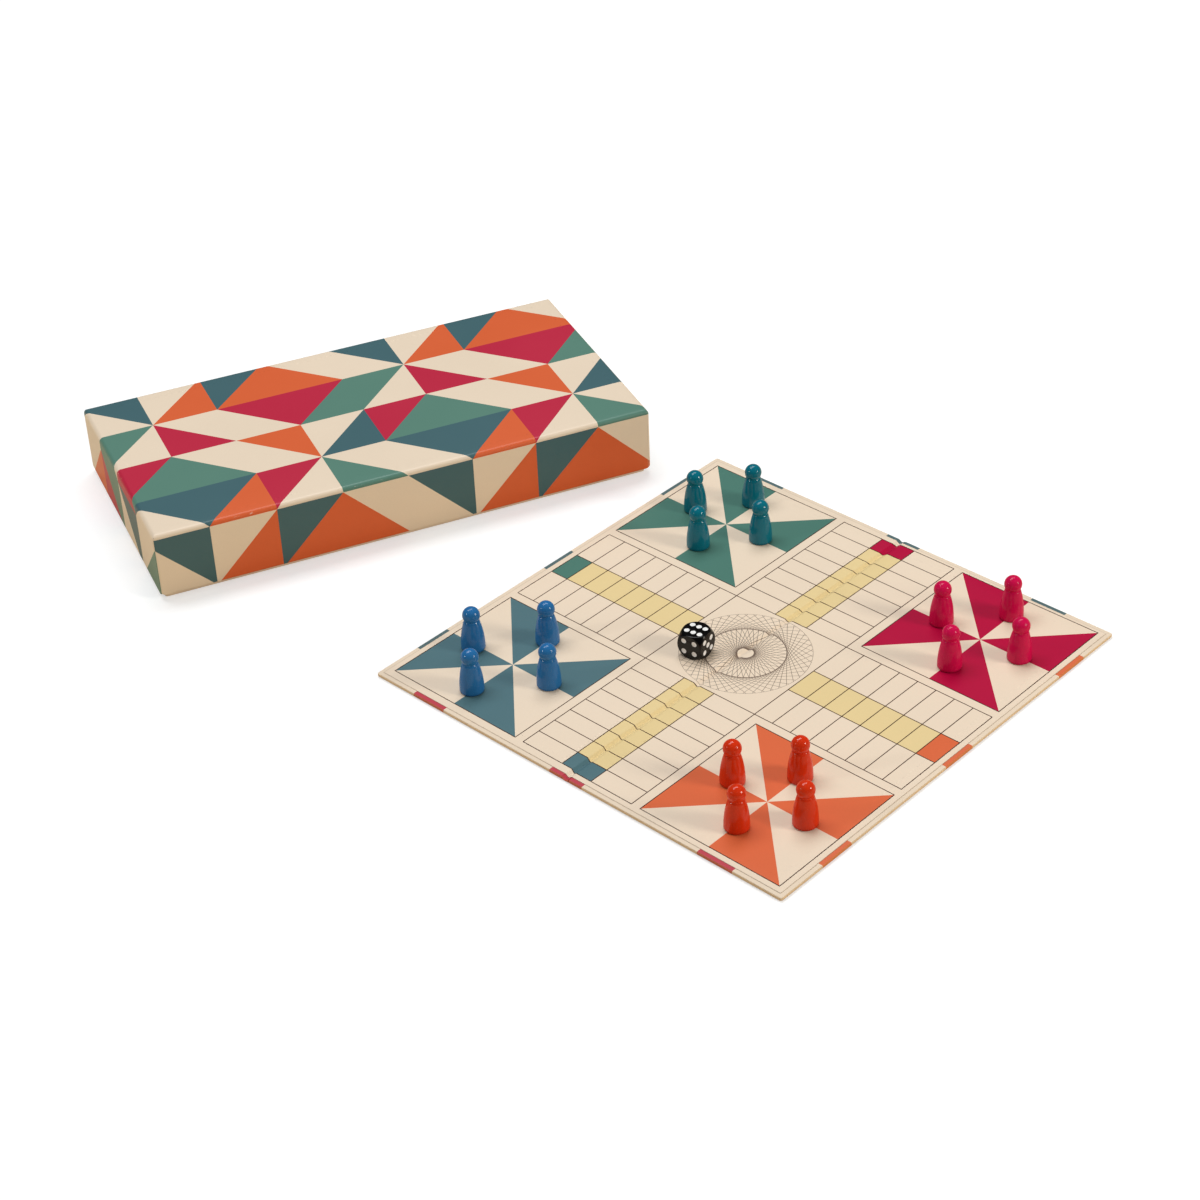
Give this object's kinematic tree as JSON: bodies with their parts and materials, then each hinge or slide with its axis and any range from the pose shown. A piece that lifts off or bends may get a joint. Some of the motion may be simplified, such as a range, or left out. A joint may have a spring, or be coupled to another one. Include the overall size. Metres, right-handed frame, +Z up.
{
  "type": "boxed folding board game set",
  "caption": "Shallow lidded box with a folding square board, turned pawns in each of four colours and a die, laid out beside it.",
  "frame": {"origin": "middle of the box's underside, on the table", "axes": "+X along the box's long side, the box's front faces -Y, +Z up out of the lid; the open board lies in front and to the right, its fold at 24 degrees from +X"},
  "size_m": [0.4871, 0.5671, 0.046],
  "materials": {
    "case_greyboard": "matt, fibrous",
    "case_print": "printed and matt laminated",
    "case_lining": "uncoated",
    "insert_card": "uncoated white-lined card",
    "rules_paper": "uncoated",
    "board_greyboard": "matt, fibrous",
    "board_backing": "printed and matt laminated",
    "board_print": "printed and matt laminated",
    "pawn_blue": "satin paint on turned wood",
    "pawn_green": "gloss paint on turned wood",
    "pawn_crimson": "satin paint on turned wood",
    "pawn_orange": "satin paint on turned wood",
    "die_black": "polished",
    "die_white": "satin paint"
  },
  "bodies": {
    "base": {"base_board": "case_greyboard", "base_wrap": "case_print", "base_underside": "case_print", "base_liner": "case_lining", "base_corner_tapes": "case_lining", "insert_tray": "insert_card", "rules_sheet": "rules_paper"},
    "lid": {"lid_board": "case_greyboard", "lid_wrap": "case_print", "lid_liner": "case_lining", "lid_corner_tapes": "case_lining"},
    "board_left": {"board_panel_left": "board_greyboard", "board_backing_left": "board_backing", "board_print_left": "board_print"},
    "board_right": {"board_panel_right": "board_greyboard", "board_backing_right": "board_backing", "board_print_right": "board_print"},
    "board_spine": {"board_spine": "board_backing"},
    "die": {"die_body": "die_black", "die_pips": "die_white"},
    "pawn_blue_1": {"pawn_blue_1": "pawn_blue"},
    "pawn_blue_2": {"pawn_blue_2": "pawn_blue"},
    "pawn_blue_3": {"pawn_blue_3": "pawn_blue"},
    "pawn_blue_4": {"pawn_blue_4": "pawn_blue"},
    "pawn_green_1": {"pawn_green_1": "pawn_green"},
    "pawn_green_2": {"pawn_green_2": "pawn_green"},
    "pawn_green_3": {"pawn_green_3": "pawn_green"},
    "pawn_green_4": {"pawn_green_4": "pawn_green"},
    "pawn_crimson_1": {"pawn_crimson_1": "pawn_crimson"},
    "pawn_crimson_2": {"pawn_crimson_2": "pawn_crimson"},
    "pawn_crimson_3": {"pawn_crimson_3": "pawn_crimson"},
    "pawn_crimson_4": {"pawn_crimson_4": "pawn_crimson"},
    "pawn_orange_1": {"pawn_orange_1": "pawn_orange"},
    "pawn_orange_2": {"pawn_orange_2": "pawn_orange"},
    "pawn_orange_3": {"pawn_orange_3": "pawn_orange"},
    "pawn_orange_4": {"pawn_orange_4": "pawn_orange"}
  },
  "joints": [
    {"name": "lid_lift", "type": "slide", "parent": "base", "child": "lid", "axis": [0, 0, 1], "range_m": [0, 0.08]},
    {"name": "board_lift", "type": "slide", "parent": "base", "child": "board_left", "axis": [0, 0, 1], "range_m": [0, 0.06]},
    {"name": "board_fold", "type": "hinge", "parent": "board_left", "child": "board_right", "pos_m": [0.1285, -0.287, 0.00255], "axis": [-0.9135, -0.4067, 0], "range_deg": [0, 179.9]},
    {"name": "spine_fold", "type": "hinge", "parent": "board_left", "child": "board_spine", "pos_m": [0.1285, -0.287, 0.00255], "axis": [-0.9135, -0.4067, 0], "range_deg": [0, 90]},
    {"name": "pawn_blue_1_lift", "type": "slide", "parent": "board_left", "child": "pawn_blue_1", "axis": [0, 0, 1], "range_m": [0, 0.487]},
    {"name": "pawn_blue_2_lift", "type": "slide", "parent": "board_left", "child": "pawn_blue_2", "axis": [0, 0, 1], "range_m": [0, 0.487]},
    {"name": "pawn_blue_3_lift", "type": "slide", "parent": "board_left", "child": "pawn_blue_3", "axis": [0, 0, 1], "range_m": [0, 0.487]},
    {"name": "pawn_blue_4_lift", "type": "slide", "parent": "board_left", "child": "pawn_blue_4", "axis": [0, 0, 1], "range_m": [0, 0.487]},
    {"name": "pawn_green_1_lift", "type": "slide", "parent": "board_left", "child": "pawn_green_1", "axis": [0, 0, 1], "range_m": [0, 0.487]},
    {"name": "pawn_green_2_lift", "type": "slide", "parent": "board_left", "child": "pawn_green_2", "axis": [0, 0, 1], "range_m": [0, 0.487]},
    {"name": "pawn_green_3_lift", "type": "slide", "parent": "board_left", "child": "pawn_green_3", "axis": [0, 0, 1], "range_m": [0, 0.487]},
    {"name": "pawn_green_4_lift", "type": "slide", "parent": "board_left", "child": "pawn_green_4", "axis": [0, 0, 1], "range_m": [0, 0.487]},
    {"name": "pawn_crimson_1_lift", "type": "slide", "parent": "board_left", "child": "pawn_crimson_1", "axis": [0, 0, 1], "range_m": [0, 0.487]},
    {"name": "pawn_crimson_2_lift", "type": "slide", "parent": "board_left", "child": "pawn_crimson_2", "axis": [0, 0, 1], "range_m": [0, 0.487]},
    {"name": "pawn_crimson_3_lift", "type": "slide", "parent": "board_left", "child": "pawn_crimson_3", "axis": [0, 0, 1], "range_m": [0, 0.487]},
    {"name": "pawn_crimson_4_lift", "type": "slide", "parent": "board_left", "child": "pawn_crimson_4", "axis": [0, 0, 1], "range_m": [0, 0.487]},
    {"name": "pawn_orange_1_lift", "type": "slide", "parent": "board_left", "child": "pawn_orange_1", "axis": [0, 0, 1], "range_m": [0, 0.487]},
    {"name": "pawn_orange_2_lift", "type": "slide", "parent": "board_left", "child": "pawn_orange_2", "axis": [0, 0, 1], "range_m": [0, 0.487]},
    {"name": "pawn_orange_3_lift", "type": "slide", "parent": "board_left", "child": "pawn_orange_3", "axis": [0, 0, 1], "range_m": [0, 0.487]},
    {"name": "pawn_orange_4_lift", "type": "slide", "parent": "board_left", "child": "pawn_orange_4", "axis": [0, 0, 1], "range_m": [0, 0.487]},
    {"name": "die_lift", "type": "slide", "parent": "board_left", "child": "die", "axis": [0, 0, 1], "range_m": [0, 0.487]}
  ],
  "couplings": [
    {"joint": "spine_fold", "follows": "board_fold", "ratio": 0.5},
    {"joint": "pawn_blue_1_lift", "follows": "board_fold", "m_per_rad": 0.155},
    {"joint": "pawn_blue_2_lift", "follows": "board_fold", "m_per_rad": 0.155},
    {"joint": "pawn_blue_3_lift", "follows": "board_fold", "m_per_rad": 0.155},
    {"joint": "pawn_blue_4_lift", "follows": "board_fold", "m_per_rad": 0.155},
    {"joint": "pawn_green_1_lift", "follows": "board_fold", "m_per_rad": 0.155},
    {"joint": "pawn_green_2_lift", "follows": "board_fold", "m_per_rad": 0.155},
    {"joint": "pawn_green_3_lift", "follows": "board_fold", "m_per_rad": 0.155},
    {"joint": "pawn_green_4_lift", "follows": "board_fold", "m_per_rad": 0.155},
    {"joint": "pawn_crimson_1_lift", "follows": "board_fold", "m_per_rad": 0.155},
    {"joint": "pawn_crimson_2_lift", "follows": "board_fold", "m_per_rad": 0.155},
    {"joint": "pawn_crimson_3_lift", "follows": "board_fold", "m_per_rad": 0.155},
    {"joint": "pawn_crimson_4_lift", "follows": "board_fold", "m_per_rad": 0.155},
    {"joint": "pawn_orange_1_lift", "follows": "board_fold", "m_per_rad": 0.155},
    {"joint": "pawn_orange_2_lift", "follows": "board_fold", "m_per_rad": 0.155},
    {"joint": "pawn_orange_3_lift", "follows": "board_fold", "m_per_rad": 0.155},
    {"joint": "pawn_orange_4_lift", "follows": "board_fold", "m_per_rad": 0.155},
    {"joint": "die_lift", "follows": "board_fold", "m_per_rad": 0.155}
  ]
}
